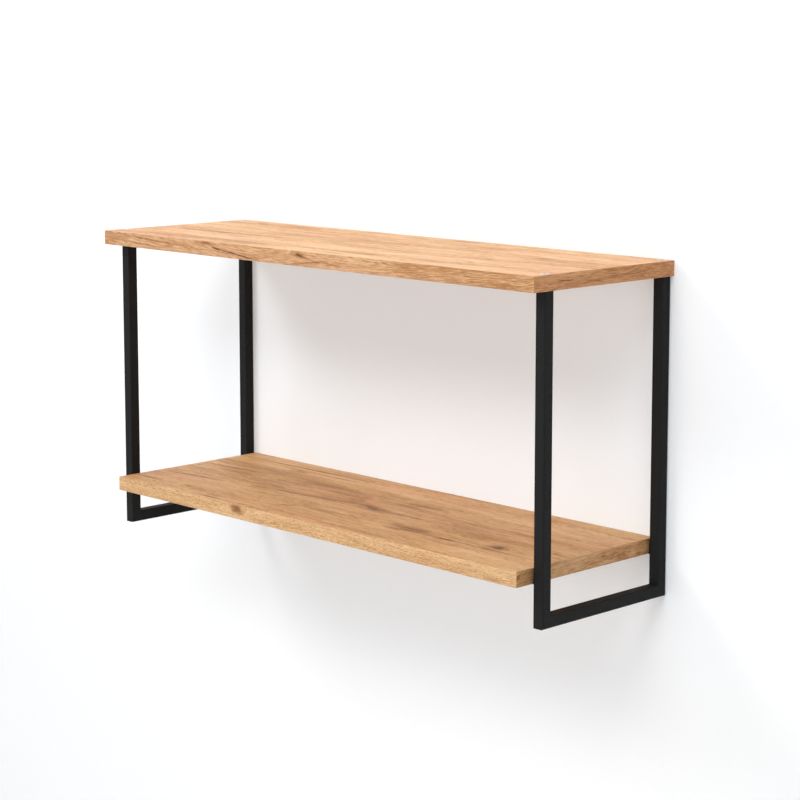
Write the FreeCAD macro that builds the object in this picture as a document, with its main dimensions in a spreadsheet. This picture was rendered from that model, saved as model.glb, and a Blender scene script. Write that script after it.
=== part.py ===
# Hanging wall shelf: two banded boards held by two U-shaped frames of square steel tube.
# The upper board lies on the four upright ends and is screwed down from above. The lower
# board stands between the frames on four welded angle brackets, which are let into its
# underside, and is screwed from below.
# The rear uprights hang on wall screws by keyholes.
#
# Directions: +X to the right, the front towards -Y, +Z up. The wall is the plane y = 0.
# The origin lies on the wall, in the middle of the four keyholes.

import FreeCAD, Part
import Sketcher
import os

sizes = {
    # boards, as bought: banded panel stock
    "shelf_width": 800.0,
    "shelf_depth": 250.0,
    "board_thickness": 19.0,
    "band_thickness": 1.0,
    "band_edge_radius": 0.7,
    # frames: how far they stand in from the board's ends and its front edge
    "frame_height": 394.0,
    "frame_inset": 5.0,
    "frame_setback": 25.0,
    # air between the bottom bars and the lower board
    "bar_gap": 36.0,
    "tube_size": 15.0,
    "tube_wall": 1.5,
    "tube_corner_radius": 1.8,
    # keyholes in the wall-side faces of the rear uprights
    "keyhole_entry_diameter": 9.0,
    "keyhole_slot_width": 4.6,
    "keyhole_rise": 9.0,
    "keyhole_drop": 40.0,
    "keyhole_spacing": 250.0,
    # threaded block in the top of each upright
    "block_height": 16.0,
    "block_clearance": 0.1,
    "thread_clearance": 0.05,
    # countersunk machine screw through the upper board
    "bolt_diameter": 6.0,
    "bolt_length": 30.0,
    "bolt_head_diameter": 12.0,
    "bolt_head_recess": 0.1,
    "bolt_socket_width": 4.0,
    "bolt_socket_depth": 2.4,
    "bolt_hole_diameter": 6.5,
    "bolt_seat_clearance": 0.05,
    # angle bracket let into the underside of the lower board at each corner
    "bracket_thickness": 2.5,
    "bracket_width": 8.0,
    "bracket_reach": 25.0,
    "bracket_rise": 12.0,
    "bracket_root_radius": 0.8,
    "bracket_corner_chamfer": 2.0,
    "bracket_hole_diameter": 4.5,
    "bracket_hole_setback": 7.0,
    "bracket_side_clearance": 0.3,
    "board_end_gap": 1.0,
    # pan-head wood screw through each bracket
    "wood_screw_diameter": 4.0,
    "wood_screw_length": 12.0,
    "wood_screw_tip": 3.5,
    "wood_head_diameter": 7.6,
    "wood_head_face_diameter": 6.0,
    "wood_head_height": 2.6,
    "wood_head_rim": 2.1,
    "cross_slot_width": 1.1,
    "cross_slot_span": 4.2,
    "cross_slot_depth": 1.5,
    "pilot_clearance": 0.05,
    "pilot_spare_depth": 1.5,
    # weld beads
    "bracket_bead": 2.0,
    "corner_bead": 1.2,
    # how far a cutting outline runs past the piece that it cuts
    "overrun": 2.0,
}


class Length:
    """A length in mm, kept together with the sheet formula that gives it."""

    def __init__(self, value, formula):
        self.value = value
        self.formula = formula

    def __add__(self, other):
        return Length(self.value + other.value, f"({self.formula} + {other.formula})")

    def __sub__(self, other):
        return Length(self.value - other.value, f"({self.formula} - {other.formula})")

    def __mul__(self, factor):
        return Length(self.value * factor, f"({self.formula} * {factor})")

    def __truediv__(self, factor):
        return Length(self.value / factor, f"({self.formula} / {factor})")

    def __neg__(self):
        return self * -1


class Sizes:
    """The sheet's sizes as attributes."""

    def __init__(self, values):
        for name, value in values.items():
            setattr(self, name, Length(value, f"Sizes.{name}"))


size = Sizes(sizes)
zero = Length(0, "0")

document = FreeCAD.newDocument("wall_shelf")
sheet = document.addObject("Spreadsheet::Sheet", "Sizes")
for row, (name, value) in enumerate(sizes.items(), start=1):
    sheet.set(f"A{row}", name)
    sheet.set(f"B{row}", str(value))
    sheet.setAlias(f"B{row}", name)
document.recompute()

X = FreeCAD.Vector(1, 0, 0)
Y = FreeCAD.Vector(0, 1, 0)
Z = FreeCAD.Vector(0, 0, 1)

sub_parts = []

# places and sizes that several pieces share
frame_top = size.keyhole_drop + size.keyhole_spacing / 2
frame_bottom = frame_top - size.frame_height
frame_depth = size.shelf_depth - size.frame_setback
lower_bottom = frame_bottom + size.tube_size + size.bar_gap
lower_top = lower_bottom + size.board_thickness
upright_x = size.shelf_width / 2 - size.frame_inset - size.tube_size / 2
upright_inner_x = upright_x - size.tube_size / 2
front_upright_y = size.tube_size / 2 - frame_depth
rear_upright_y = -size.tube_size / 2
flat_width = size.tube_size - size.tube_corner_radius * 2
lower_length = (upright_inner_x - size.bracket_thickness - size.board_end_gap) * 2
bracket_hole_reach = size.bracket_reach - size.bracket_hole_setback
bracket_hole_x = upright_inner_x - bracket_hole_reach
bracket_recess_half = size.bracket_width / 2 + size.bracket_side_clearance
pilot_diameter = size.wood_screw_diameter + size.pilot_clearance * 2

# a point this near to a plane counts as lying on it
same_place = size.tube_wall.value / 1000

sides = {"left": -1, "right": 1}
rows = {"front": front_upright_y, "rear": rear_upright_y}


def new_body(name):
    body = document.addObject("PartDesign::Body", name)
    body.Label = name
    return body


def bind(item, prop, length):
    item.setExpression(prop, length.formula)


def set_in_place(piece, x=zero, y=zero, z=zero, axis=Z, turn=0):
    """Turns the piece, moves it to its place and adds it to the sub-parts."""
    piece.Placement = FreeCAD.Placement(FreeCAD.Vector(), FreeCAD.Rotation(axis, turn))
    bind(piece, "Placement.Base.x", x)
    bind(piece, "Placement.Base.y", y)
    bind(piece, "Placement.Base.z", z)
    sub_parts.append(piece)


def new_sketch(body, name, plane):
    sketch = body.newObject("Sketcher::SketchObject", f"{body.Name}_{name}")
    origin_plane = next(item for item in body.Origin.OriginFeatures if item.Role == plane)
    sketch.AttachmentSupport = [(origin_plane, "")]
    sketch.MapMode = "FlatFace"
    return sketch


def constrain(sketch, kind, *place, length):
    index = sketch.addConstraint(Sketcher.Constraint(kind, *place, length.value))
    bind(sketch, f"Constraints[{index}]", length)


def fix_point(sketch, geometry, point, x, y):
    constrain(sketch, "DistanceX", -1, 1, geometry, point, length=x)
    constrain(sketch, "DistanceY", -1, 1, geometry, point, length=y)


def draw_polygon(sketch, corners):
    points = [FreeCAD.Vector(x.value, y.value, 0) for x, y in corners]
    first = sketch.GeometryCount
    count = len(corners)
    for i, point in enumerate(points):
        sketch.addGeometry(Part.LineSegment(point, points[(i + 1) % count]))
    for i, (x, y) in enumerate(corners):
        following = first + (i + 1) % count
        sketch.addConstraint(Sketcher.Constraint("Coincident", first + i, 2, following, 1))
        fix_point(sketch, first + i, 1, x, y)


def draw_rectangle(sketch, left, bottom, right, top):
    draw_polygon(sketch, [(left, bottom), (right, bottom), (right, top), (left, top)])


def draw_circle(sketch, x, y, diameter):
    centre = FreeCAD.Vector(x.value, y.value, 0)
    circle = sketch.addGeometry(Part.Circle(centre, Z, diameter.value / 2))
    fix_point(sketch, circle, 3, x, y)
    constrain(sketch, "Diameter", circle, length=diameter)


def pad(body, sketch, length, reverse=False, both_sides=False):
    feature = body.newObject("PartDesign::Pad", f"{sketch.Name}_pad")
    feature.Profile = sketch
    feature.SideType = "Symmetric" if both_sides else "One side"
    feature.Reversed = reverse
    bind(feature, "Length", length)
    document.recompute()
    return feature


def pocket(body, sketch, length, reverse=False, both_sides=False):
    """Cuts the sketch's outline out of the body, and stops if nothing was cut."""
    before = body.Shape.Volume
    feature = body.newObject("PartDesign::Pocket", f"{sketch.Name}_pocket")
    feature.Profile = sketch
    feature.SideType = "Symmetric" if both_sides else "One side"
    feature.Reversed = reverse
    bind(feature, "Length", length)
    document.recompute()
    if not body.Shape.Volume < before:
        raise RuntimeError(f"{feature.Name} cuts nothing")
    return feature


def drill(body, sketch, diameter, depth=None, reverse=False):
    """Drills every circle of the sketch, through the body where no depth is given."""
    document.recompute()
    feature = body.newObject("PartDesign::Hole", f"{sketch.Name}_hole")
    feature.Profile = sketch
    feature.ThreadType = "None"
    feature.Reversed = reverse
    bind(feature, "Diameter", diameter)
    if depth is None:
        feature.DepthType = "ThroughAll"
    else:
        feature.DepthType = "Dimension"
        feature.DrillPoint = "Flat"
        bind(feature, "Depth", depth)
    document.recompute()
    return feature


def pick_edges(base, chosen):
    """The feature, with the names of its edges that the test picks by middle and direction."""
    names = []
    for i, edge in enumerate(base.Shape.Edges, start=1):
        middle = edge.valueAt((edge.FirstParameter + edge.LastParameter) / 2)
        direction = edge.tangentAt(edge.FirstParameter)
        if chosen(middle, direction):
            names.append(f"Edge{i}")
    return base, names


def fillet(body, base, radius, chosen):
    feature = body.newObject("PartDesign::Fillet", f"{base.Name}_fillet")
    feature.Base = pick_edges(base, chosen)
    bind(feature, "Radius", radius)
    document.recompute()
    return feature


def chamfer(body, base, width, chosen):
    feature = body.newObject("PartDesign::Chamfer", f"{base.Name}_chamfer")
    feature.Base = pick_edges(base, chosen)
    bind(feature, "Size", width)
    document.recompute()
    return feature


def revolve(body, sketch):
    """Turns a profile once round the body's Z axis."""
    feature = body.newObject("PartDesign::Revolution", f"{sketch.Name}_revolution")
    feature.Profile = sketch
    feature.ReferenceAxis = (sketch, ["V_Axis"])
    feature.Angle = 360
    document.recompute()
    return feature


def near(a, b):
    return abs(a - b) < same_place


def along(direction, axis):
    return abs(direction.dot(axis)) > 0.999


# Boards. A core is drawn from its middle, with its top face at z = 0.


def board_core(name, length):
    body = new_body(name)
    depth = size.shelf_depth - size.band_thickness * 2
    sketch = new_sketch(body, "outline", "XY_Plane")
    draw_rectangle(sketch, -length / 2, -depth / 2, length / 2, depth / 2)
    pad(body, sketch, size.board_thickness, reverse=True)
    return body


def upper_board():
    """The upper core has four countersunk holes, one above each upright."""
    name = "upper_board_core"
    body = board_core(name, size.shelf_width - size.band_thickness * 2)
    sketch = new_sketch(body, "screw_holes", "XY_Plane")
    for side in sides.values():
        for y in rows.values():
            draw_circle(sketch, upright_x * side, y + size.shelf_depth / 2, size.bolt_hole_diameter)
    feature = drill(body, sketch, size.bolt_hole_diameter)
    feature.HoleCutType = "Countersink"
    feature.HoleCutCountersinkAngle = 90
    # the cone reaches the board's face this much wider than the head, on every side
    spread = size.bolt_head_recess + size.bolt_seat_clearance
    bind(feature, "HoleCutDiameter", size.bolt_head_diameter + spread * 2)
    document.recompute()
    set_in_place(body, y=-size.shelf_depth / 2, z=frame_top + size.board_thickness)


def lower_board():
    """The lower core's underside has a recess for each bracket, with a blind pilot hole in it."""
    length = lower_length - size.band_thickness * 2
    body = board_core("lower_board_core", length)
    sketch = new_sketch(body, "bracket_recesses", "XY_Plane")
    bind(sketch, "AttachmentOffset.Base.z", -size.board_thickness)
    recess_end = upright_inner_x - size.bracket_reach - size.bracket_side_clearance
    core_end = length / 2 + size.overrun
    for side in sides.values():
        low, high = sorted((recess_end * side, core_end * side), key=lambda x: x.value)
        for y in rows.values():
            middle = y + size.shelf_depth / 2
            front, back = middle - bracket_recess_half, middle + bracket_recess_half
            draw_rectangle(sketch, low, front, high, back)
    pocket(body, sketch, size.bracket_thickness, reverse=True)

    sketch = new_sketch(body, "pilot_holes", "XY_Plane")
    bind(sketch, "AttachmentOffset.Base.z", size.bracket_thickness - size.board_thickness)
    for side in sides.values():
        for y in rows.values():
            draw_circle(sketch, bracket_hole_x * side, y + size.shelf_depth / 2, pilot_diameter)
    depth = size.wood_screw_length - size.bracket_thickness + size.pilot_spare_depth
    drill(body, sketch, pilot_diameter, depth, reverse=True)
    set_in_place(body, y=-size.shelf_depth / 2, z=lower_top)


def edge_band(name, length, notches=(), **place):
    """A strip along X with its glued face at y = 0 and its long outer edges rounded.

    Its lower edge is notched for a bracket at each given place along it.
    """
    body = new_body(name)
    sketch = new_sketch(body, "outline", "XY_Plane")
    draw_rectangle(sketch, -length / 2, -size.band_thickness, length / 2, zero)
    strip = pad(body, sketch, size.board_thickness)

    def outer(middle, direction):
        return along(direction, X) and not near(middle.y, 0)

    fillet(body, strip, size.band_edge_radius, outer)
    if notches:
        sketch = new_sketch(body, "notches", "XZ_Plane")
        for x in notches:
            left, right = x - bracket_recess_half, x + bracket_recess_half
            draw_rectangle(sketch, left, -size.overrun, right, size.bracket_thickness)
        pocket(body, sketch, size.overrun * 2, both_sides=True)
    set_in_place(body, **place)


def board_bands(board, length, bottom, notches=()):
    """Front and back bands run the board's whole length, and the end bands stand between them."""
    end_length = size.shelf_depth - size.band_thickness * 2
    edge_band(f"{board}_front_band", length, y=size.band_thickness - size.shelf_depth, z=bottom)
    edge_band(f"{board}_back_band", length, y=-size.band_thickness, z=bottom, turn=180)
    glued_x = length / 2 - size.band_thickness
    for side_name, side in sides.items():
        # the strip's own X runs back along the right end and forward along the left end
        places = [notch * side for notch in notches]
        name = f"{board}_{side_name}_band"
        x, y = glued_x * side, -size.shelf_depth / 2
        edge_band(name, end_length, places, x=x, y=y, z=bottom, turn=90 * side)


# Frames. A tube stands on z = 0 with its axis on the Z axis and its outer side towards -Y.


def square_tube(name, length):
    """Drawn square tube with rounded outer corners and a square bore."""
    body = new_body(name)
    half = size.tube_size / 2
    sketch = new_sketch(body, "section", "XY_Plane")
    draw_rectangle(sketch, -half, -half, half, half)
    bar = pad(body, sketch, length)
    fillet(body, bar, size.tube_corner_radius, lambda middle, direction: along(direction, Z))

    bore = half - size.tube_wall
    sketch = new_sketch(body, "bore", "XY_Plane")
    draw_rectangle(sketch, -bore, -bore, bore, bore)
    pocket(body, sketch, length, reverse=True)
    return body


def cut_mitre(body, name, end, inwards):
    """Cuts an end at 45 degrees, from its outer corner in to where the inner corner starts."""
    half = size.tube_size / 2
    over = size.overrun
    step = over * inwards
    sketch = new_sketch(body, name, "YZ_Plane")
    corners = [
        (-half - over, end - step),
        (half + over, end + size.tube_size * inwards + step),
        (half + over, end - step),
    ]
    draw_polygon(sketch, corners)
    pocket(body, sketch, size.tube_size + over * 2, both_sides=True)


def cut_keyholes(body):
    """Two keyholes in the outer wall: a round entry, and a slot that rises from it."""
    first = size.frame_height - size.keyhole_drop
    heights = (first, first - size.keyhole_spacing)
    depth = size.tube_size / 2 + size.overrun
    slot_half = size.keyhole_slot_width / 2

    sketch = new_sketch(body, "keyhole_entries", "XZ_Plane")
    for height in heights:
        draw_circle(sketch, zero, height, size.keyhole_entry_diameter)
    pocket(body, sketch, depth, reverse=True)

    sketch = new_sketch(body, "keyhole_slots", "XZ_Plane")
    for height in heights:
        draw_rectangle(sketch, -slot_half, height, slot_half, height + size.keyhole_rise)
    pocket(body, sketch, depth, reverse=True)

    sketch = new_sketch(body, "keyhole_ends", "XZ_Plane")
    for height in heights:
        draw_circle(sketch, zero, height + size.keyhole_rise, size.keyhole_slot_width)
    pocket(body, sketch, depth, reverse=True)


def frame_tubes(side_name, side):
    front = square_tube(f"{side_name}_front_upright", size.frame_height)
    cut_mitre(front, "mitre", zero, 1)
    set_in_place(front, upright_x * side, front_upright_y, frame_bottom)

    rear = square_tube(f"{side_name}_rear_upright", size.frame_height)
    cut_mitre(rear, "mitre", zero, 1)
    cut_keyholes(rear)
    set_in_place(rear, upright_x * side, rear_upright_y, frame_bottom, turn=180)

    bar = square_tube(f"{side_name}_bottom_bar", frame_depth)
    cut_mitre(bar, "rear_mitre", zero, 1)
    cut_mitre(bar, "front_mitre", frame_depth, -1)
    set_in_place(bar, upright_x * side, zero, frame_bottom + size.tube_size / 2, axis=X, turn=90)


# Fastening of the upper board.


def threaded_block(name, x, y):
    """A square steel block in the top of the tube, flush with its end, with the screw's hole."""
    body = new_body(name)
    half = size.tube_size / 2 - size.tube_wall - size.block_clearance
    sketch = new_sketch(body, "section", "XY_Plane")
    draw_rectangle(sketch, -half, -half, half, half)
    pad(body, sketch, size.block_height, reverse=True)
    sketch = new_sketch(body, "thread", "XY_Plane")
    diameter = size.bolt_diameter + size.thread_clearance * 2
    draw_circle(sketch, zero, zero, diameter)
    pocket(body, sketch, size.block_height)
    set_in_place(body, x, y, frame_top)


def countersunk_bolt(name, x, y):
    """Machine screw with a flat head and a hexagon socket. Its head's top is at z = 0."""
    body = new_body(name)
    radius = size.bolt_diameter / 2
    head = size.bolt_head_diameter / 2
    sketch = new_sketch(body, "profile", "XZ_Plane")
    outline = [
        (zero, zero),
        (head, zero),
        (radius, radius - head),
        (radius, -size.bolt_length),
        (zero, -size.bolt_length),
    ]
    draw_polygon(sketch, outline)
    revolve(body, sketch)

    flat = size.bolt_socket_width / 2
    corner_share = 3**-0.5
    sketch = new_sketch(body, "socket", "XY_Plane")
    hexagon = [
        (flat, -flat * corner_share),
        (flat, flat * corner_share),
        (zero, flat * corner_share * 2),
        (-flat, flat * corner_share),
        (-flat, -flat * corner_share),
        (zero, -flat * corner_share * 2),
    ]
    draw_polygon(sketch, hexagon)
    pocket(body, sketch, size.bolt_socket_depth)
    set_in_place(body, x, y, frame_top + size.board_thickness - size.bolt_head_recess)


# Fastening of the lower board.


def angle_bracket(name, side, y):
    """A short length of steel angle. Its upright leg is welded to the tube's inner face, and
    its flat leg lies flush in the board's underside."""
    body = new_body(name)
    thickness = size.bracket_thickness
    sketch = new_sketch(body, "section", "XZ_Plane")
    section = [
        (zero, -thickness),
        (size.bracket_reach, -thickness),
        (size.bracket_reach, zero),
        (thickness, zero),
        (thickness, size.bracket_rise),
        (zero, size.bracket_rise),
    ]
    draw_polygon(sketch, section)
    angle = pad(body, sketch, size.bracket_width, both_sides=True)

    def root(middle, direction):
        return near(middle.x, thickness.value) and near(middle.z, 0) and along(direction, Y)

    rooted = fillet(body, angle, size.bracket_root_radius, root)

    def free_corner(middle, direction):
        return near(middle.x, size.bracket_reach.value) and along(direction, Z)

    chamfer(body, rooted, size.bracket_corner_chamfer, free_corner)
    sketch = new_sketch(body, "screw_hole", "XY_Plane")
    draw_circle(sketch, bracket_hole_reach, zero, size.bracket_hole_diameter)
    drill(body, sketch, size.bracket_hole_diameter)
    roof = lower_bottom + thickness
    set_in_place(body, upright_inner_x * side, y, roof, turn=180 if side > 0 else 0)


def wood_screw(name, x, y):
    """Pan-head screw with a cross slot, driven upwards. The head bears on z = 0 from below."""
    body = new_body(name)
    radius = size.wood_screw_diameter / 2
    head = size.wood_head_diameter / 2
    height = size.wood_head_height
    sketch = new_sketch(body, "profile", "XZ_Plane")
    outline = [
        (zero, -height),
        (size.wood_head_face_diameter / 2, -height),
        (head, -size.wood_head_rim),
        (head, zero),
        (radius, zero),
        (radius, size.wood_screw_length - size.wood_screw_tip),
        (zero, size.wood_screw_length),
    ]
    draw_polygon(sketch, outline)
    revolve(body, sketch)
    span = size.cross_slot_span / 2
    slot = size.cross_slot_width / 2
    sketch = new_sketch(body, "cross_slot", "XY_Plane")
    bind(sketch, "AttachmentOffset.Base.z", -height)
    cross = [
        (span, -slot),
        (span, slot),
        (slot, slot),
        (slot, span),
        (-slot, span),
        (-slot, slot),
        (-span, slot),
        (-span, -slot),
        (-slot, -slot),
        (-slot, -span),
        (slot, -span),
        (slot, -slot),
    ]
    draw_polygon(sketch, cross)
    pocket(body, sketch, size.cross_slot_depth, reverse=True)
    set_in_place(body, x, y, lower_bottom)


# Weld beads, one node for each frame.


def bead(name, radius, length, corner, rotation):
    """A quarter-round bead that fills a square inner corner. The corner is the cylinder's axis."""
    solid = document.addObject("Part::Cylinder", name)
    solid.Angle = 90
    bind(solid, "Radius", radius)
    bind(solid, "Height", length)
    solid.Placement = FreeCAD.Placement(FreeCAD.Vector(), rotation)
    for prop, value in zip(("x", "y", "z"), corner):
        bind(solid, f"Placement.Base.{prop}", value)
    return solid


def frame_welds(side_name, side):
    """Beads above and below each bracket, and one in the inner corner of each mitre."""
    half_turn = FreeCAD.Rotation(Z, 180)
    rising = FreeCAD.Rotation(X, 90)
    falling = FreeCAD.Rotation(X, -90)
    if side > 0:
        rising = half_turn * rising
        falling = half_turn * falling
    inner_x = upright_inner_x * side
    half_width = size.bracket_width / 2 * side
    beads = []
    for row_name, y in rows.items():
        name = f"{side_name}_{row_name}"
        leg_top = lower_bottom + size.bracket_thickness + size.bracket_rise
        above = (inner_x, y - half_width, leg_top)
        below = (inner_x, y + half_width, lower_bottom)
        length = size.bracket_width
        beads.append(bead(f"{name}_upper_bead", size.bracket_bead, length, above, rising))
        beads.append(bead(f"{name}_lower_bead", size.bracket_bead, length, below, falling))

    # a third of a turn about the diagonal lays the bead along X, facing back and up
    facing_back = FreeCAD.Rotation(X + Y + Z, 120)
    facing_front = half_turn * facing_back
    half_flat = flat_width / 2
    bar_top = frame_bottom + size.tube_size
    half = size.tube_size / 2
    front = (upright_x * side - half_flat, front_upright_y + half, bar_top)
    rear = (upright_x * side + half_flat, rear_upright_y - half, bar_top)
    radius = size.corner_bead
    beads.append(bead(f"{side_name}_front_bead", radius, flat_width, front, facing_back))
    beads.append(bead(f"{side_name}_rear_bead", radius, flat_width, rear, facing_front))

    group = document.addObject("Part::Compound", f"{side_name}_frame_welds")
    group.Label = f"{side_name}_frame_welds"
    group.Links = beads
    document.recompute()
    sub_parts.append(group)


upper_board()
board_bands("upper", size.shelf_width, frame_top)
lower_board()
bracket_places = [y + size.shelf_depth / 2 for y in rows.values()]
board_bands("lower", lower_length, lower_bottom, bracket_places)
for side_name, side in sides.items():
    frame_tubes(side_name, side)
    for row_name, y in rows.items():
        corner = f"{side_name}_{row_name}"
        threaded_block(f"{corner}_threaded_block", upright_x * side, y)
        countersunk_bolt(f"{corner}_bolt", upright_x * side, y)
        angle_bracket(f"{corner}_bracket", side, y)
        wood_screw(f"{corner}_wood_screw", bracket_hole_x * side, y)
    frame_welds(side_name, side)
document.recompute()

for item in document.Objects:
    if "Invalid" in item.State or "Error" in item.State:
        raise RuntimeError(f"{item.Name} failed: {item.State}")
for piece in sub_parts:
    if piece.Shape.isNull() or not piece.Shape.isValid():
        raise RuntimeError(f"{piece.Label} has no valid shape")

os.makedirs("parts", exist_ok=True)
for piece in sub_parts:
    piece.Shape.exportStep(f"parts/{piece.Label}.step")
    box = piece.Shape.BoundBox
    print(piece.Label, len(piece.Shape.Solids), "solids,", round(piece.Shape.Volume), "mm3,",
          [round(v, 2) for v in (box.XMin, box.XMax, box.YMin, box.YMax, box.ZMin, box.ZMax)])
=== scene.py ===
import math

import bmesh
import bpy
from mathutils import Euler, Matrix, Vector

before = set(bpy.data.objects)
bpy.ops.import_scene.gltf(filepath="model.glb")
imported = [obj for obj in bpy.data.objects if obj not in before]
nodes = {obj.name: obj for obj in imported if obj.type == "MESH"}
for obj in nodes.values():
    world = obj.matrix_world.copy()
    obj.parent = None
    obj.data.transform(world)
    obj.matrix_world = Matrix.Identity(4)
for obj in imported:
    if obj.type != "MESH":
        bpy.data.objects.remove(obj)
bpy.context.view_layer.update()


# Board cores: particle board 19 mm thick. Melamine paper printed as golden oak is pressed on
# both faces. The print has broad soft bands, darker streaks, a few knots and splits, and fine
# pores that the pressing plate also leaves as shallow dents.

MM = 0.001  # one millimetre in metres

# heights of each board's two printed faces, mm from the middle of the keyholes
UPPER_FACES = (165.0, 184.0)
LOWER_FACES = (-178.0, -159.0)
PAPER_DEPTH = 0.05  # mm from the face to the raw board

WHITE = "#FFFFFF"
OAK_MARK = "#8E552A"
OAK_SPLIT = "#4C2A1A"
OAK_TONES = ((0.2, "#BF8A58"), (0.5, "#E2B182"), (0.75, "#F2C69A"))
# thin washes of colour over the print: yellow in some patches, rosy in others
WASHES = ((0.38, "#FCFCF3"), (0.5, WHITE), (0.62, "#FFF9F8"))
CHIP_TONES = ((0.0, "#7E5C3A"), (0.45, "#B98F5C"), (1.0, "#DCC294"))
CHIP_SIZE = 2.0  # mm

RESIN_IOR = 1.5
SATIN_LEVEL = 0.25  # half the reflection of glossy resin
FACE_ROUGHNESS = 0.52
PORE_ROUGHNESS = 0.66
PORE_DEPTH = 0.06  # mm
PORE_STRENGTH = 0.34
PORE_CROWDING = 0.45  # how much the dark lines draw pores
PORE_START, PORE_FULL = 0.66, 0.56  # the noise at which a pore starts, and is at its darkest
SPLIT_STRENGTH = 0.9

SWEEP_SPAN = 100.0  # mm along the board, over which a sweep is measured
SPOT_REACH = 9  # mm below the printed face, so the other face doesn't have the spot
SPOT_FADE = 0.65  # the outer share of a spot, over which it fades out
# round a knot: the oval in which the grain parts, and the darker rim
PARTED_LENGTH, PARTED_WIDTH, PARTED_STRENGTH = 3.5, 3, 0.8
RIM_LENGTH, RIM_WIDTH, RIM_STRENGTH = 2.2, 2.4, 0.55


def linear(hex_colour):
    """An sRGB hex colour as linear red, green, blue and a full alpha."""
    values = [int(hex_colour[i : i + 2], 16) / 255 for i in (1, 3, 5)]
    return [v / 12.92 if v <= 0.04045 else ((v + 0.055) / 1.055) ** 2.4 for v in values] + [1.0]


def add(tree, kind, inputs=(), stops=(), **settings):
    """Adds a node with its settings.

    Inputs map a socket's name or number to a value, or to the socket that feeds it. Stops are a
    colour ramp's positions and hex colours.
    """
    node = tree.nodes.new(kind)
    for name, value in settings.items():
        setattr(node, name, value)
    for key, value in dict(inputs).items():
        if isinstance(value, bpy.types.NodeSocket):
            tree.links.new(value, node.inputs[key])
        else:
            node.inputs[key].default_value = value
    for index, (position, colour) in enumerate(stops):
        if index > 1:
            node.color_ramp.elements.new(position)
        node.color_ramp.elements[index].position = position
        node.color_ramp.elements[index].color = linear(colour)
    return node


def new_material(name, **uniform):
    """A material with one Principled shader, and the values that are the same all over it."""
    material = bpy.data.materials.new(name)
    material.use_nodes = True
    shader = material.node_tree.nodes["Principled BSDF"]
    for socket, value in uniform.items():
        shader.inputs[socket.replace("_", " ")].default_value = value
    return material, material.node_tree, shader


def dress(material, *names):
    """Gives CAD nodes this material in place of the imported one."""
    for name in names:
        nodes[name].data.materials.clear()
        nodes[name].data.materials.append(material)


def covered(tree, place, level, spots):
    """How much the spots cover a place: the sum of their strengths there.

    A spot is an oval with a soft edge: along, across, half length, half width in mm, turn in
    degrees, strength.
    """
    total = 0.0
    for along, across, half_length, half_width, turn, strength in spots:
        oval = add(tree, "ShaderNodeMapping", {
            "Vector": place,
            "Location": (along, across, level),
            "Rotation": (0, 0, math.radians(turn)),
            "Scale": (half_length, half_width, SPOT_REACH),
        }, vector_type="TEXTURE")
        inside = add(tree, "ShaderNodeTexGradient", {
            "Vector": oval.outputs[0],
        }, gradient_type="SPHERICAL")
        part = add(tree, "ShaderNodeMapRange", {
            "Value": inside.outputs["Fac"], "From Min": 0.0, "From Max": SPOT_FADE,
            "To Min": 0.0, "To Max": strength,
        })
        total = add(tree, "ShaderNodeMath", {
            0: part.outputs[0], 1: total,
        }, operation="ADD").outputs[0]
    return total


def waver(tree, place, seed, wander):
    """The face's coordinates with noise in them, because grain leaves its line and has no edges.

    The grain goes up to 8 mm sideways in slow waves, and up to 2 mm in quick ones times wander.
    What is drawn across it gets a ragged outline.
    """
    moved = {"face": place}
    for made, start, length, width, push in (
        ("waved", "face", 260, 50, (0, 40, 0)),
        ("grain", "waved", 34, 8, (0, 7 * wander, 0)),
        ("ragged", "face", 13, 4, (18, 4, 0)),
    ):
        grid = add(tree, "ShaderNodeMapping", {
            "Vector": moved[start], "Scale": (1 / length, 1 / width, 1 / width),
        })
        waves = add(tree, "ShaderNodeTexNoise", {
            "Vector": grid.outputs[0], "W": seed, "Scale": 1.0, "Detail": 2.0,
        }, noise_dimensions="4D")
        centred = add(tree, "ShaderNodeVectorMath", {
            0: waves.outputs["Color"], 1: (0.5, 0.5, 0.5),
        }, operation="SUBTRACT")
        pushed = add(tree, "ShaderNodeVectorMath", {
            0: centred.outputs[0], 1: push, 2: moved[start],
        }, operation="MULTIPLY_ADD")
        moved[made] = pushed.outputs[0]
    return moved["grain"], moved["ragged"]


def follow(tree, place, wavering, level, sweep, knots):
    """Coordinates along and across the grain, which sweeps and parts to run round each knot."""
    flow = add(tree, "ShaderNodeSeparateXYZ", {0: wavering})
    drop, low_point = sweep
    reach = add(tree, "ShaderNodeMath", {
        0: flow.outputs["X"], 1: low_point,
    }, operation="SUBTRACT")
    share = add(tree, "ShaderNodeMath", {
        0: reach.outputs[0], 1: SWEEP_SPAN,
    }, operation="DIVIDE")
    square = add(tree, "ShaderNodeMath", {
        0: share.outputs[0], 1: share.outputs[0],
    }, operation="MULTIPLY")
    across = add(tree, "ShaderNodeMath", {
        0: square.outputs[0], 1: -drop, 2: flow.outputs["Y"],
    }, operation="MULTIPLY_ADD").outputs[0]
    for along, off, half_length, half_width, turn, _ in knots:
        around = covered(tree, place, level, [(
            along, off, half_length * PARTED_LENGTH, half_width * PARTED_WIDTH, turn,
            PARTED_STRENGTH,
        )])
        offset = add(tree, "ShaderNodeMath", {
            0: flow.outputs["Y"], 1: off,
        }, operation="SUBTRACT")
        push = add(tree, "ShaderNodeMath", {
            0: offset.outputs[0], 1: around,
        }, operation="MULTIPLY")
        across = add(tree, "ShaderNodeMath", {
            0: across, 1: push.outputs[0],
        }, operation="SUBTRACT").outputs[0]
    return add(tree, "ShaderNodeCombineXYZ", {
        0: flow.outputs["X"], 1: across, 2: flow.outputs["Z"],
    }).outputs[0]


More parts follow.
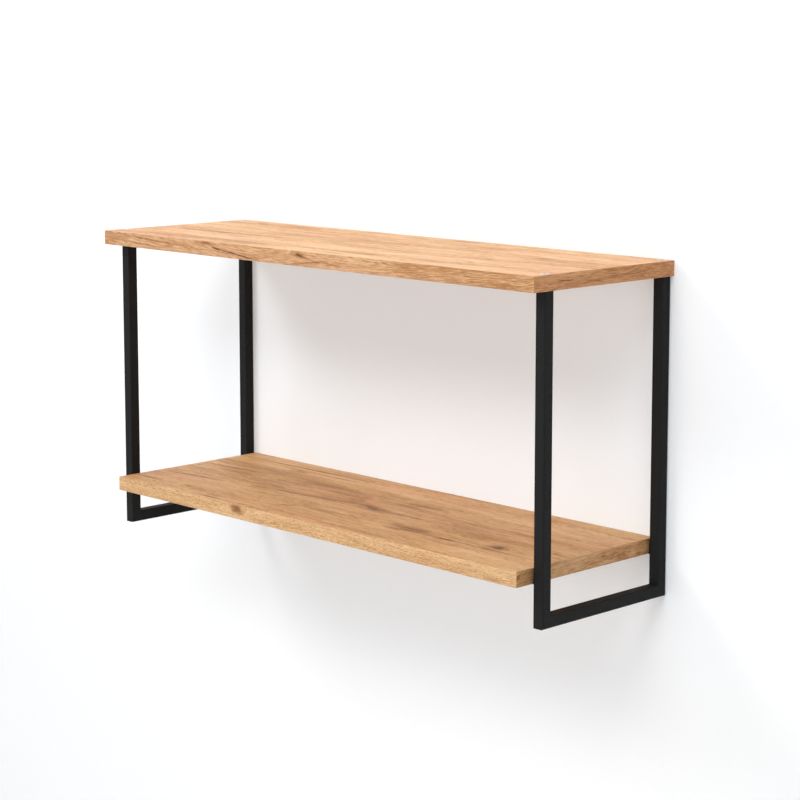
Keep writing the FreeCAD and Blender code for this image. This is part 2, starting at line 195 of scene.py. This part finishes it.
def print_layers(tree, grain, seed, tone, broad, fine, fleck):
    """The layers of the print, and the tone that they make together.

    Each has its length along the grain and its width in mm, how fine it gets, how rough it is
    and how much it changes the tone.
    """
    layers = {}
    for index, (layer, length, width, detail, roughness, weight) in enumerate((
        ("bands", 420, 34, 3.0, 0.55, 0.9 * broad),
        ("blotches", 85, 13, 4.0, 0.62, 0.9 * broad),
        ("lines", 110, 2.6, 3.0, 0.6, 0.6 * broad),
        ("flecks", *fleck, 2.0, 0.6, 0.55 * fine),
        ("fibres", 24, 0.9, 2.0, 0.6, 0.4 * fine),
        ("washes", 240, 38, 2.0, 0.5, 0.0),
        ("pores", 9, 0.9, 1.0, 0.5, 0.0),
    )):
        grid = add(tree, "ShaderNodeMapping", {
            "Vector": grain, "Scale": (1 / length, 1 / width, 1 / width),
        })
        layers[layer] = add(tree, "ShaderNodeTexNoise", {
            "Vector": grid.outputs[0], "W": seed + 1 + index, "Scale": 1.0,
            "Detail": detail, "Roughness": roughness,
        }, noise_dimensions="4D").outputs[0]
        if weight:
            centred = add(tree, "ShaderNodeMath", {
                0: layers[layer], 1: 0.5,
            }, operation="SUBTRACT")
            tone = add(tree, "ShaderNodeMath", {
                0: centred.outputs[0], 1: weight, 2: tone,
            }, operation="MULTIPLY_ADD").outputs[0]
    return layers, tone


def show_chips(tree, place, colour, faces):
    """Raw particle board wherever a hole or recess goes deeper than the paper."""
    bottom, top = faces
    inside = add(tree, "ShaderNodeMath", {
        0: add(tree, "ShaderNodeSeparateXYZ", {0: place}).outputs["Z"],
        1: (bottom + top) / 2,
        2: (top - bottom) / 2 - PAPER_DEPTH,
    }, operation="COMPARE")
    cells = add(tree, "ShaderNodeTexVoronoi", {
        "Vector": place, "Scale": 1 / CHIP_SIZE, "Randomness": 1.0,
    })
    chip = add(tree, "ShaderNodeSeparateColor", {0: cells.outputs["Color"]})
    chips = add(tree, "ShaderNodeValToRGB", {0: chip.outputs[0]}, stops=CHIP_TONES)
    return add(tree, "ShaderNodeMix", {
        0: inside.outputs[0], 6: colour, 7: chips.outputs[0],
    }, data_type="RGBA").outputs[2]


def oak_print(name, seed, level, turn=(0, 0, 0), sweep=(0, 0), tint_and_painted_shade=WHITE, broad=1.0,
              fine=1.2, fleck=(12, 1.5), wander=1.0, shades=(), streaks=(), splits=(), knots=(),
              board=None):
    """Melamine paper printed as oak, pressed satin: the clear resin gives it a soft, even sheen.

    turn lays the pattern's X along the grain and its Y across it, and level is how far out the
    printed face lies. sweep is how far the grain leaves its line 100 mm from its low point, and
    where that point is. broad is how strong the bands, blotches, lines and washes are, and fine
    the flecks and fibres. fleck is a fleck's length and width, and wander how much the grain
    wavers. shades make patches lighter, or darker where their strength is negative. board is
    the bottom and top of a core, whose raw chips show in its holes and recesses.
    """
    material, tree, shader = new_material(name, IOR=RESIN_IOR, Specular_IOR_Level=SATIN_LEVEL)
    place = add(tree, "ShaderNodeMapping", {
        "Vector": add(tree, "ShaderNodeTexCoord").outputs["Object"],
        "Rotation": [math.radians(angle) for angle in turn],
        "Scale": (1 / MM, 1 / MM, 1 / MM),
    }).outputs[0]
    wavering, ragged = waver(tree, place, seed, wander)
    grain = follow(tree, place, wavering, level, sweep, knots)

    tone = add(tree, "ShaderNodeMath", {
        0: covered(tree, ragged, level, shades), 1: 0.5,
    }, operation="ADD").outputs[0]
    layers, tone = print_layers(tree, grain, seed, tone, broad, fine, fleck)
    colour = add(tree, "ShaderNodeValToRGB", {0: tone}, stops=OAK_TONES).outputs[0]
    wash = add(tree, "ShaderNodeValToRGB", {0: layers["washes"]}, stops=WASHES)
    colour = add(tree, "ShaderNodeMix", {
        0: broad, 6: colour, 7: wash.outputs[0],
    }, data_type="RGBA", blend_type="MULTIPLY").outputs[2]

    # darker streaks and the rims of knots, strong in the dark lines and weak between them
    rims = [
        (along, off, half_length * RIM_LENGTH, half_width * RIM_WIDTH, knot_turn, RIM_STRENGTH)
        for along, off, half_length, half_width, knot_turn, _ in knots
    ]
    broken = add(tree, "ShaderNodeMapRange", {
        "Value": layers["lines"], "From Min": 0.36, "From Max": 0.62,
        "To Min": 1.35, "To Max": 0.55,
    })
    streak = add(tree, "ShaderNodeMath", {
        0: covered(tree, ragged, level, [*streaks, *rims]), 1: broken.outputs[0],
    }, operation="MULTIPLY", use_clamp=True)
    colour = add(tree, "ShaderNodeMix", {
        0: streak.outputs[0], 6: colour, 7: linear(OAK_MARK),
    }, data_type="RGBA").outputs[2]

    # pores: dark dashes 9 mm long and under 1 mm wide, closer together in the darker lines
    crowd = add(tree, "ShaderNodeMath", {
        0: layers["lines"], 1: PORE_CROWDING, 2: layers["pores"],
    }, operation="MULTIPLY_ADD")
    pore = add(tree, "ShaderNodeMapRange", {
        "Value": crowd.outputs[0], "From Min": PORE_START, "From Max": PORE_FULL,
        "To Min": 0.0, "To Max": PORE_STRENGTH,
    }).outputs[0]
    colour = add(tree, "ShaderNodeMix", {
        0: pore, 6: colour, 7: linear(OAK_MARK),
    }, data_type="RGBA").outputs[2]

    # splits and the hearts of knots
    dark = add(tree, "ShaderNodeMapRange", {
        "Value": covered(tree, ragged, level, [*splits, *knots]), "From Min": 0.1,
        "From Max": 1.0, "To Min": 0.0, "To Max": SPLIT_STRENGTH,
    })
    colour = add(tree, "ShaderNodeMix", {
        0: dark.outputs[0], 6: colour, 7: linear(OAK_SPLIT),
    }, data_type="RGBA").outputs[2]
    # the tint multiplies the whole face: partly the print's own tone, partly painted shade that
    # darkens and warms the faces which get less light
    colour = add(tree, "ShaderNodeMix", {
        0: 1.0, 6: colour, 7: linear(tint_and_painted_shade),
    }, data_type="RGBA", blend_type="MULTIPLY").outputs[2]
    if board:
        colour = show_chips(tree, place, colour, board)
    tree.links.new(colour, shader.inputs["Base Color"])

    # the pores are dents, duller than the rest
    rough = add(tree, "ShaderNodeMapRange", {
        "Value": pore, "From Min": 0.0, "From Max": PORE_STRENGTH,
        "To Min": FACE_ROUGHNESS, "To Max": PORE_ROUGHNESS,
    })
    tree.links.new(rough.outputs[0], shader.inputs["Roughness"])
    height = add(tree, "ShaderNodeMath", {
        0: pore, 1: -2.0, 2: layers["fibres"],
    }, operation="MULTIPLY_ADD")
    relief = add(tree, "ShaderNodeBump", {
        "Height": height.outputs[0], "Strength": 0.6, "Distance": PORE_DEPTH * MM,
    })
    tree.links.new(relief.outputs[0], shader.inputs["Normal"])
    return material


upper_face = oak_print(
    "melamine_oak_paper_pressed_upper_face", seed=3.1, level=UPPER_FACES[1],
    board=UPPER_FACES,
    shades=(
        (-25, -185, 110, 22, 0, 0.12), (190, -120, 180, 40, 0, 0.14),
        (-212, -188, 150, 16, 0, 0.1), (-212, -222, 190, 16, 0, -0.17),
        (190, -55, 140, 26, 2, -0.1), (340, -60, 60, 32, 0, -0.1),
        (-100, -50, 70, 22, -4, -0.08),
    ),
    streaks=(
        (90, -215, 38, 6, 4, 0.6), (50, -232, 34, 5, 0, 0.5), (-150, -102, 80, 5, 3, 0.45),
        (-230, -151, 160, 5, 2, 0.4), (-255, -155, 20, 7, 0, 0.5), (-200, -175, 34, 5, 0, 0.35),
        (-10, -92, 55, 6, 3, 0.35), (65, -15, 34, 6, 0, 0.5), (125, -75, 30, 6, 0, 0.35),
        (281, -98, 18, 8, 25, 0.75), (245, -192, 20, 5, -20, 0.5), (100, -145, 18, 5, 0, 0.35),
        (-325, -25, 18, 7, 0, 0.5), (-240, -26, 30, 6, 0, 0.5),
    ),
)
lower_face = oak_print(
    "melamine_oak_paper_pressed_lower_face", seed=7.7, level=LOWER_FACES[1],
    # the lower face's tint is partly painted shade: darker and warmer than the upper face, which
    # gets more light
    board=LOWER_FACES, tint_and_painted_shade="#F0EDDF",
    shades=(
        (-170, -48, 260, 20, 0, 0.12), (-145, -192, 290, 38, 0, 0.14),
        (-150, -108, 300, 50, 0, -0.16), (218, -116, 220, 26, 0, -0.12),
        (240, -50, 180, 30, 0, 0.06), (300, -228, 130, 22, 0, 0.08),
        (-60, -226, 290, 26, 0, -0.13), (205, -165, 90, 60, 0, -0.09),
        (-100, -24, 230, 24, 0, 0.07),
    ),
    streaks=(
        # the brown band along the middle of the board
        (-330, -80, 45, 7, 3, 0.3), (-310, -96, 70, 7, 3, 0.45), (-280, -112, 50, 8, 2, 0.3),
        (-250, -86, 40, 7, 3, 0.28), (-210, -118, 55, 8, 0, 0.3), (-140, -88, 70, 10, 4, 0.45),
        (-120, -72, 45, 6, 0, 0.3), (-60, -102, 50, 7, 0, 0.3), (-20, -120, 45, 6, 0, 0.25),
        (-160, -130, 55, 6, 4, 0.25), (66, -82, 44, 6, 2, 0.55), (42, -96, 36, 5, 0, 0.45),
        # long dark lines
        (-228, -27, 170, 4, 1, 0.6), (-190, -39, 140, 4, 1, 0.3), (-226, -48, 24, 8, 0, 0.5),
        (-93, -143, 120, 4, 7, 0.75), (-188, -154, 22, 6, 0, 0.5), (75, -138, 70, 4, 1, 0.45),
        (-10, -130, 40, 5, 5, 0.4), (-305, -170, 85, 4, 8, 0.5), (275, -192.5, 105, 3, 0, 0.5),
        (205, -193, 26, 5, 0, 0.7), (-180, -243, 95, 3, 1, 0.6), (-186, -243, 22, 5, 0, 0.7),
        # the smudge right of the middle, made of short strokes
        (133, -186, 40, 19, 6, 0.35), (106, -179, 18, 6, 5, 0.4), (128, -183, 24, 5, 8, 0.45),
        (142, -191, 26, 5, 0, 0.45), (118, -197, 18, 5, -6, 0.4), (152, -182, 14, 5, 10, 0.4),
        (170, -190, 30, 9, 0, 0.35),
        # small marks
        (-20, -192, 32, 5, 0, 0.4), (-74, -203, 16, 5, 40, 0.6), (-341, -222, 34, 5, 0, 0.55),
        (-188, -232, 24, 5, 0, 0.45),
    ),
    knots=((281, -179, 11, 9, 0, 0.85), (21, -138, 20, 6, -6, 0.75)),
)
dress(upper_face, "upper_board_core")
dress(lower_face, "lower_board_core")


# Edge bands: strips 1 mm thick with the same print, glued round all four edges of each board
# and trimmed flush. Their grain runs along the strip. Each band's tint is partly painted shade,
# darkest and warmest on the ends, which get the least light.

FRONT_EDGE = 250  # mm from the wall
UPPER_END = 400  # mm from the middle of the shelf, as is the next one
LOWER_END = 376.5
FACING_FRONT = (-90, 0, 0)
FACING_SIDE = (-90, -90, 0)

upper_front = oak_print(
    "melamine_oak_band_trimmed_upper_front", seed=12.4, level=FRONT_EDGE, turn=FACING_FRONT,
    sweep=(1.0, 40), tint_and_painted_shade="#E7E4E4", broad=0.4, fine=2.7, fleck=(14, 1.0), wander=0.35,
    shades=((290, 174, 190, 40, 0, -0.15), (-388, 176, 26, 16, 0, -0.2)),
    streaks=(
        (-290, 177.5, 140, 1.8, -3, 0.6), (-178, 181, 20, 3, -2, 0.7),
        (-330, 172, 110, 1.6, -3, 0.5), (20, 170, 60, 2.2, 8, 0.4),
        (22, 175.5, 24, 1.8, -10, 0.5), (60, 172, 34, 2, -8, 0.35),
    ),
    splits=((-160, 175.8, 12, 1.9, -8, 1.0), (-116, 171, 60, 1.3, -6.5, 0.9)),
    knots=((5, 178.7, 8, 2.0, -12, 0.9),),
)
lower_front = oak_print(
    "melamine_oak_band_trimmed_lower_front", seed=15.9, level=FRONT_EDGE, turn=FACING_FRONT,
    tint_and_painted_shade="#EEF1EC", broad=0.45, fine=2.7, fleck=(6, 1.0), wander=0.35,
    shades=((270, -168, 260, 40, 0, 0.07), (-310, -168, 150, 40, 0, -0.06)),
    streaks=(
        (338, -174.6, 20, 2, 0, 0.4), (-74, -174, 9, 2.5, 0, 0.45), (-122, -165, 15, 8, 0, 0.15),
    ),
    knots=((-121.5, -164.8, 8.5, 3.6, 0, 0.45),),
)
upper_ends = oak_print(
    "melamine_oak_band_trimmed_upper_ends", seed=21.3, level=UPPER_END, turn=FACING_SIDE,
    tint_and_painted_shade="#E3D1C4", broad=0.7, fine=2.1,
    shades=((-45, 174, 80, 40, 0, -0.08),),
    streaks=((-120, 173, 130, 2.4, 3, 0.4),),
    splits=((-197, 175.4, 17, 1.2, -4, 0.8),),
)
lower_ends = oak_print(
    "melamine_oak_band_trimmed_lower_ends", seed=24.8, level=LOWER_END, turn=FACING_SIDE,
    tint_and_painted_shade="#DFDBCF", broad=0.7, fine=2.1,
    shades=((-238, -168, 22, 16, 0, -0.2),),
    streaks=((-246, -166, 9, 2.5, 40, 0.6),),
)
dress(upper_front, "upper_front_band", "upper_back_band")
dress(lower_front, "lower_front_band", "lower_back_band")
dress(upper_ends, "upper_left_band", "upper_right_band")
dress(lower_ends, "lower_left_band", "lower_right_band")


# Frames: square steel tube 15 mm wide, mitred, welded, ground flush and powder-coated black.
# Small angle brackets are welded inside to carry the lower board, let into its underside.

SIDES = ("left", "right")
ROWS = ("front", "rear")
COAT_BLACK = "#161616"
COAT_IOR = 1.45
COAT_LEVEL = 0.2  # two fifths of the reflection of a glossy coat
COAT_ROUGHNESS = (0.6, 0.72)
POWDER_GRAIN = 0.4 * MM
SKIN_WAVE = 2.5 * MM
SKIN_DEPTH = 0.08 * MM


def powder_coat():
    """Fine matt polyester powder on steel: even black with a faint orange-peel skin.

    Grains of powder show as close pits, and the melted skin waves more slowly.
    """
    material, tree, shader = new_material(
        "polyester_powder_coat_baked_black", IOR=COAT_IOR, Specular_IOR_Level=COAT_LEVEL,
        Base_Color=linear(COAT_BLACK),
    )
    place = add(tree, "ShaderNodeTexCoord").outputs["Object"]
    grains = add(tree, "ShaderNodeTexNoise", {
        "Vector": place, "Scale": 1 / POWDER_GRAIN, "Detail": 2.0,
    })
    skin = add(tree, "ShaderNodeTexNoise", {
        "Vector": place, "Scale": 1 / SKIN_WAVE, "Detail": 1.0,
    })
    rough = add(tree, "ShaderNodeMapRange", {
        "Value": skin.outputs[0], "From Min": 0.3, "From Max": 0.7,
        "To Min": COAT_ROUGHNESS[0], "To Max": COAT_ROUGHNESS[1],
    })
    tree.links.new(rough.outputs[0], shader.inputs["Roughness"])
    height = add(tree, "ShaderNodeMix", {0: 0.5, 2: grains.outputs[0], 3: skin.outputs[0]})
    relief = add(tree, "ShaderNodeBump", {
        "Height": height.outputs[0], "Strength": 0.35, "Distance": SKIN_DEPTH,
    })
    tree.links.new(relief.outputs[0], shader.inputs["Normal"])
    return material


black_coat = powder_coat()
for side in SIDES:
    dress(black_coat, f"{side}_front_upright", f"{side}_rear_upright", f"{side}_bottom_bar")
    dress(black_coat, f"{side}_frame_welds", *[f"{side}_{row}_bracket" for row in ROWS])


# Fasteners: bright zinc-plated steel screws. Four countersunk ones hold the upper board, in
# threaded blocks of bare steel pressed into the tops of the uprights, and four pan-head ones go
# up through the brackets into the lower board.

ZINC = "#D3D2D1"
SOCKET_PAINTED_SHADE = "#4A4745"
ZINC_ROUGHNESS = (0.26, 0.4)
ZINC_CLOUD = 2.0 * MM
BOLT_HEAD_TOP = 183.9  # height in mm
SOCKET_FADE = (0.1, 0.6)  # mm below the head's top, over which the painted shade in the socket comes in
STEEL = "#8C8C8E"
STEEL_ROUGHNESS = (0.35, 0.55)
SAW_LINE = 0.3 * MM
SAW_LINE_LENGTH = 6 * MM
SAW_DEPTH = 0.03 * MM


def plated_zinc(name, head_top=None):
    """Bright zinc plate on turned steel: pale grey metal with small cloudy patches.

    A socket punched from head_top down is painted dark: painted shade in the recess.
    """
    material, tree, shader = new_material(name, Metallic=1.0, Base_Color=linear(ZINC))
    place = add(tree, "ShaderNodeTexCoord").outputs["Object"]
    clouds = add(tree, "ShaderNodeTexNoise", {
        "Vector": place, "Scale": 1 / ZINC_CLOUD, "Detail": 3.0,
    })
    rough = add(tree, "ShaderNodeMapRange", {
        "Value": clouds.outputs[0], "From Min": 0.35, "From Max": 0.65,
        "To Min": ZINC_ROUGHNESS[0], "To Max": ZINC_ROUGHNESS[1],
    })
    tree.links.new(rough.outputs[0], shader.inputs["Roughness"])
    if head_top:
        # painted shade: the socket darkens from the head's top downwards
        start, end = SOCKET_FADE
        inside = add(tree, "ShaderNodeMapRange", {
            "Value": add(tree, "ShaderNodeSeparateXYZ", {0: place}).outputs["Z"],
            "From Min": (head_top - start) * MM, "From Max": (head_top - end) * MM,
            "To Min": 0.0, "To Max": 1.0,
        })
        colour = add(tree, "ShaderNodeMix", {
            0: inside.outputs[0], 6: linear(ZINC), 7: linear(SOCKET_PAINTED_SHADE),
        }, data_type="RGBA")
        tree.links.new(colour.outputs[2], shader.inputs["Base Color"])
    return material


def sawn_steel():
    """Bare drawn bar cut on a saw: dull grey with fine lines across it."""
    material, tree, shader = new_material(
        "bare_drawn_steel_sawn", Metallic=1.0, Base_Color=linear(STEEL),
    )
    lines = add(tree, "ShaderNodeMapping", {
        "Vector": add(tree, "ShaderNodeTexCoord").outputs["Object"],
        "Scale": (1 / SAW_LINE_LENGTH, 1 / SAW_LINE, 1 / SAW_LINE_LENGTH),
    })
    marks = add(tree, "ShaderNodeTexNoise", {
        "Vector": lines.outputs[0], "Scale": 1.0, "Detail": 2.0,
    })
    rough = add(tree, "ShaderNodeMapRange", {
        "Value": marks.outputs[0], "From Min": 0.3, "From Max": 0.7,
        "To Min": STEEL_ROUGHNESS[0], "To Max": STEEL_ROUGHNESS[1],
    })
    tree.links.new(rough.outputs[0], shader.inputs["Roughness"])
    relief = add(tree, "ShaderNodeBump", {
        "Height": marks.outputs[0], "Strength": 0.5, "Distance": SAW_DEPTH,
    })
    tree.links.new(relief.outputs[0], shader.inputs["Normal"])
    return material


bolt_zinc = plated_zinc("bright_zinc_plate_with_painted_socket_shade", head_top=BOLT_HEAD_TOP)
screw_zinc = plated_zinc("bright_zinc_plate_on_turned_steel")
steel = sawn_steel()
for side in SIDES:
    for row in ROWS:
        dress(bolt_zinc, f"{side}_{row}_bolt")
        dress(screw_zinc, f"{side}_{row}_wood_screw")
        dress(steel, f"{side}_{row}_threaded_block")


# Room: a white wall behind the shelf and a pale floor far below it, in soft studio light.
# Behind the shelf the paint is tinted cooler: painted colour that cancels the warm light the
# boards throw on it.

WALL_PAINT = "#EFF0F1"
COOL_TINT_AGAINST_BOUNCE = "#EAF0F6"
COOL_HALF_SIZE = (0.7, 1.0, 0.5)  # metres to each side of the middle of the keyholes
COOL_STRENGTH = 1.4
WALL_GLOW = 0.14  # added where the wall is seen as background
WALL_GAP = 0.5 * MM
SEEN_THROUGH = 3 * MM  # the paint lets rays through that start closer to it than this
FLOOR_HEIGHT = -1.25  # metres, as is the next one
ROOM_HALF = 5.0


def seen_directly(tree):
    """1 on the rays that show a surface as background: camera, reflected and refracted ones."""
    path = add(tree, "ShaderNodeLightPath")
    seen = add(tree, "ShaderNodeMath", {
        0: path.outputs["Is Camera Ray"], 1: path.outputs["Is Glossy Ray"],
    }, operation="MAXIMUM")
    seen = add(tree, "ShaderNodeMath", {
        0: seen.outputs[0], 1: path.outputs["Is Transmission Ray"],
    }, operation="MAXIMUM")
    return seen.outputs[0], path


def wall_paint(name):
    """Matt paint rolled on: white, with a cooler patch behind the shelf painted to cancel the
    boards' warm bounce light. It lets through what comes from behind or close by.
    """
    material = bpy.data.materials.new(f"matt_white_paint_rolled_on_{name}")
    material.use_nodes = True
    tree = material.node_tree
    tree.nodes.clear()
    seen, path = seen_directly(tree)
    near = add(tree, "ShaderNodeMapping", {
        "Vector": add(tree, "ShaderNodeTexCoord").outputs["Object"], "Scale": COOL_HALF_SIZE,
    }, vector_type="TEXTURE")
    behind_shelf = add(tree, "ShaderNodeTexGradient", {
        "Vector": near.outputs[0],
    }, gradient_type="SPHERICAL")
    # painted light correction: cooler towards the middle behind the shelf, against the boards'
    # warm bounce
    cool = add(tree, "ShaderNodeMath", {
        0: behind_shelf.outputs["Fac"], 1: COOL_STRENGTH,
    }, operation="MULTIPLY", use_clamp=True)
    tone = add(tree, "ShaderNodeMix", {
        0: cool.outputs[0], 6: linear(WALL_PAINT), 7: linear(COOL_TINT_AGAINST_BOUNCE),
    }, data_type="RGBA")
    paint = add(tree, "ShaderNodeBsdfDiffuse", {"Color": tone.outputs[2]})
    lift = add(tree, "ShaderNodeMath", {0: seen, 1: WALL_GLOW}, operation="MULTIPLY")
    glow = add(tree, "ShaderNodeEmission", {
        "Color": linear(WHITE), "Strength": lift.outputs[0],
    })
    front = add(tree, "ShaderNodeAddShader", {0: paint.outputs[0], 1: glow.outputs[0]})
    close = add(tree, "ShaderNodeMath", {
        0: path.outputs["Ray Length"], 1: SEEN_THROUGH,
    }, operation="LESS_THAN")
    open_way = add(tree, "ShaderNodeMath", {
        0: add(tree, "ShaderNodeNewGeometry").outputs["Backfacing"], 1: close.outputs[0],
    }, operation="MAXIMUM")
    through = add(tree, "ShaderNodeBsdfTransparent")
    mixed = add(tree, "ShaderNodeMixShader", {
        0: open_way.outputs[0], 1: front.outputs[0], 2: through.outputs[0],
    })
    add(tree, "ShaderNodeOutputMaterial", {"Surface": mixed.outputs[0]})
    return material


def room_surface(name, place, turn):
    """A large painted square."""
    mesh = bpy.data.meshes.new(name)
    build = bmesh.new()
    bmesh.ops.create_grid(build, x_segments=1, y_segments=1, size=ROOM_HALF)
    bmesh.ops.rotate(build, verts=build.verts, cent=(0, 0, 0), matrix=Euler(turn).to_matrix())
    bmesh.ops.translate(build, verts=build.verts, vec=place)
    build.to_mesh(mesh)
    build.free()
    mesh.materials.append(wall_paint(name))
    surface = bpy.data.objects.new(name, mesh)
    bpy.context.scene.collection.objects.link(surface)


room_surface("wall", (0, WALL_GAP, FLOOR_HEIGHT + ROOM_HALF), (math.pi / 2, 0, 0))
room_surface("floor", (0, WALL_GAP - ROOM_HALF, FLOOR_HEIGHT), (0, 0, 0))

AROUND_LIGHT = 0.55  # on the shelf, while the background is plain white

world = bpy.data.worlds.new("white_studio")
bpy.context.scene.world = world
world.use_nodes = True
world.node_tree.nodes.clear()
world_seen, _ = seen_directly(world.node_tree)
world_strength = add(world.node_tree, "ShaderNodeMix", {0: world_seen, 2: AROUND_LIGHT, 3: 1.0})
world_light = add(world.node_tree, "ShaderNodeBackground", {
    "Color": linear(WHITE), "Strength": world_strength.outputs[0],
})
add(world.node_tree, "ShaderNodeOutputWorld", {"Surface": world_light.outputs[0]})

SHELF_MIDDLE = Vector((0, -0.12, 0))
SOFTBOX_DISTANCE = 2.6  # metres


def softbox(name, azimuth, elevation, width, height, watts):
    """A soft lamp aimed at the shelf. Azimuth 0 is straight in front and goes to the right."""
    light = bpy.data.lights.new(name, "AREA")
    light.shape = "RECTANGLE"
    light.size = width
    light.size_y = height
    light.energy = watts
    lamp = bpy.data.objects.new(name, light)
    side, up = math.radians(azimuth), math.radians(elevation)
    out = Vector((math.sin(side) * math.cos(up), -math.cos(side) * math.cos(up), math.sin(up)))
    lamp.location = SHELF_MIDDLE + out * SOFTBOX_DISTANCE
    lamp.rotation_euler = (-out).to_track_quat("-Z", "Y").to_euler()
    lamp.visible_camera = False
    bpy.context.scene.collection.objects.link(lamp)


softbox("left_softbox", azimuth=-42, elevation=36, width=0.9, height=0.6, watts=17)
softbox("right_softbox", azimuth=20, elevation=36, width=1.5, height=0.6, watts=21)
softbox("low_front_softbox", azimuth=10, elevation=5, width=0.8, height=0.6, watts=10)
softbox("top_left_softbox", azimuth=-60, elevation=75, width=0.8, height=0.6, watts=8)


# Camera: a long lens, a little above the shelf and 46 degrees round to the right. Its place and
# turn come from a fit of the shelf's edges in the photograph.

CAMERA_PLACE = (2.0044, -2.0186, 0.4508)
CAMERA_ROUND = 45.803  # degrees to the right of straight in front
CAMERA_DOWN = 7.549  # degrees below level
SENSOR_WIDTH = 36.0  # mm, as is the lens
LENS_LENGTH = 96.557
PICTURE_SHIFT = -0.1  # of the picture's width

camera_data = bpy.data.cameras.new("camera")
camera_data.sensor_width = SENSOR_WIDTH
camera_data.lens = LENS_LENGTH
camera_data.shift_y = PICTURE_SHIFT
camera = bpy.data.objects.new("camera", camera_data)
camera.location = CAMERA_PLACE
camera.rotation_euler = (math.radians(90 - CAMERA_DOWN), 0, math.radians(CAMERA_ROUND))
bpy.context.scene.collection.objects.link(camera)
bpy.context.scene.camera = camera
bpy.context.scene.view_settings.view_transform = "Standard"
